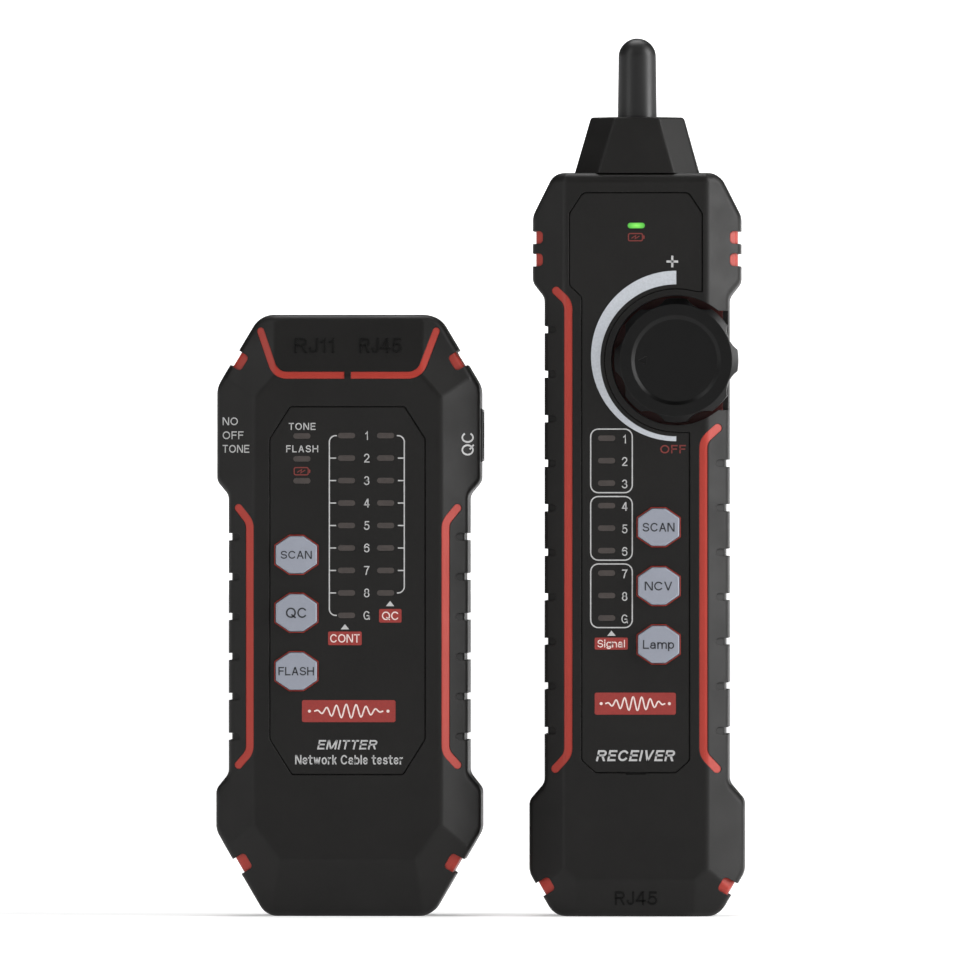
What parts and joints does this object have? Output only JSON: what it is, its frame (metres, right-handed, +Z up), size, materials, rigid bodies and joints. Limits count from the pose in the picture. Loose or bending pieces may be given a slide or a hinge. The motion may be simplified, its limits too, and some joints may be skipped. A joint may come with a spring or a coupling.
{
  "type": "tone probe kit",
  "caption": "Cable tone emitter and matching probe receiver: black overmoulded housings over red shells, with lit windows, push buttons, jacks, a volume dial and a probe tip.",
  "frame": {"origin": "centre of the whole kit's box at the surface that both units stand on", "axes": "+Z up along both units, +X to the right seen from the front, +Y from the front faces to the backs"},
  "size_m": [0.1323, 0.034, 0.2199],
  "materials": {
    "soft_black_jacket": "fine satin grain, soft-touch overmould",
    "red_shell": "satin moulded plastic",
    "black_panel": "fine textured membrane panel",
    "black_nose": "satin moulded plastic",
    "black_probe": "satin gloss moulded plastic",
    "black_dial": "satin moulded plastic",
    "turned_steel": "turned",
    "ferrite": "sintered",
    "board_green": "solder mask",
    "pot_metal": "stamped",
    "battery_wrap": "heat-shrink wrap",
    "speaker_black": "moulded",
    "jack_plastic": "moulded",
    "gold_contacts": "gold flash",
    "steel_port": "drawn",
    "black_screws": "black oxide",
    "steel_screws": "zinc plated",
    "light_pipe": "smoked diffusing acrylic",
    "lit_light_pipe": "lit diffusing acrylic",
    "led_body": "moulded",
    "clear_lens": "polished",
    "switch_black": "moulded",
    "switch_metal": "stamped",
    "button_grey": "smooth silicone"
  },
  "bodies": {
    "emitter": {"emitter_back_jacket": "soft_black_jacket", "emitter_back_shell": "red_shell", "emitter_battery": "battery_wrap", "emitter_board_screws": "steel_screws", "emitter_cable_light_pipes": "light_pipe", "emitter_case_screws": "black_screws", "emitter_circuit_board": "board_green", "emitter_face_panel": "black_panel", "emitter_front_jacket": "soft_black_jacket", "emitter_front_shell": "red_shell", "emitter_jack_contacts": "gold_contacts", "emitter_leds": "led_body", "emitter_mode_switch_body": "switch_metal", "emitter_qc_jack": "jack_plastic", "emitter_rj11_jack": "jack_plastic", "emitter_rj45_jack": "jack_plastic", "emitter_status_light_pipes": "light_pipe", "emitter_tact_switches": "switch_black", "emitter_usb_port": "steel_port"},
    "receiver": {"receiver_back_jacket": "soft_black_jacket", "receiver_back_shell": "red_shell", "receiver_battery": "battery_wrap", "receiver_board_screws": "steel_screws", "receiver_case_screws": "black_screws", "receiver_circuit_board": "board_green", "receiver_face_panel": "black_panel", "receiver_front_jacket": "soft_black_jacket", "receiver_front_shell": "red_shell", "receiver_jack_contacts": "gold_contacts", "receiver_lamp_led": "led_body", "receiver_lamp_lens": "clear_lens", "receiver_leds": "led_body", "receiver_nose": "black_nose", "receiver_potentiometer": "pot_metal", "receiver_power_light_pipe": "lit_light_pipe", "receiver_probe_core": "ferrite", "receiver_probe_tip": "black_probe", "receiver_rj45_jack": "jack_plastic", "receiver_signal_light_pipes": "light_pipe", "receiver_speaker": "speaker_black", "receiver_tact_switches": "switch_black", "receiver_usb_port": "steel_port"},
    "emitter_button_scan": {"emitter_button_scan": "button_grey"},
    "emitter_button_qc": {"emitter_button_qc": "button_grey"},
    "emitter_button_flash": {"emitter_button_flash": "button_grey"},
    "receiver_button_scan": {"receiver_button_scan": "button_grey"},
    "receiver_button_ncv": {"receiver_button_ncv": "button_grey"},
    "receiver_button_lamp": {"receiver_button_lamp": "button_grey"},
    "emitter_mode_switch_knob": {"emitter_mode_switch_knob": "switch_black"},
    "receiver_dial": {"receiver_dial": "black_dial", "receiver_dial_shaft": "turned_steel"}
  },
  "joints": [
    {"name": "receiver_lift", "type": "slide", "parent": "emitter", "child": "receiver", "axis": [0, 0, 1], "range_m": [0, 0.25]},
    {"name": "emitter_button_scan_press", "type": "slide", "parent": "emitter", "child": "emitter_button_scan", "axis": [0, 1, 0], "range_m": [0, 0.0008], "stiffness_N_per_m": 300, "springref_m": -0.001},
    {"name": "emitter_button_qc_press", "type": "slide", "parent": "emitter", "child": "emitter_button_qc", "axis": [0, 1, 0], "range_m": [0, 0.0008], "stiffness_N_per_m": 300, "springref_m": -0.001},
    {"name": "emitter_button_flash_press", "type": "slide", "parent": "emitter", "child": "emitter_button_flash", "axis": [0, 1, 0], "range_m": [0, 0.0008], "stiffness_N_per_m": 300, "springref_m": -0.001},
    {"name": "receiver_button_scan_press", "type": "slide", "parent": "receiver", "child": "receiver_button_scan", "axis": [0, 1, 0], "range_m": [0, 0.0008], "stiffness_N_per_m": 300, "springref_m": -0.001},
    {"name": "receiver_button_ncv_press", "type": "slide", "parent": "receiver", "child": "receiver_button_ncv", "axis": [0, 1, 0], "range_m": [0, 0.0008], "stiffness_N_per_m": 300, "springref_m": -0.001},
    {"name": "receiver_button_lamp_press", "type": "slide", "parent": "receiver", "child": "receiver_button_lamp", "axis": [0, 1, 0], "range_m": [0, 0.0008], "stiffness_N_per_m": 300, "springref_m": -0.001},
    {"name": "mode_switch_slide", "type": "slide", "parent": "emitter", "child": "emitter_mode_switch_knob", "axis": [0, 0, 1], "range_m": [-0.00345, 0.00345]},
    {"name": "dial_turn", "type": "hinge", "parent": "receiver", "child": "receiver_dial", "pos_m": [0.04918, 0, 0.1391], "axis": [0, 1, 0], "range_deg": [-90, 90]}
  ]
}
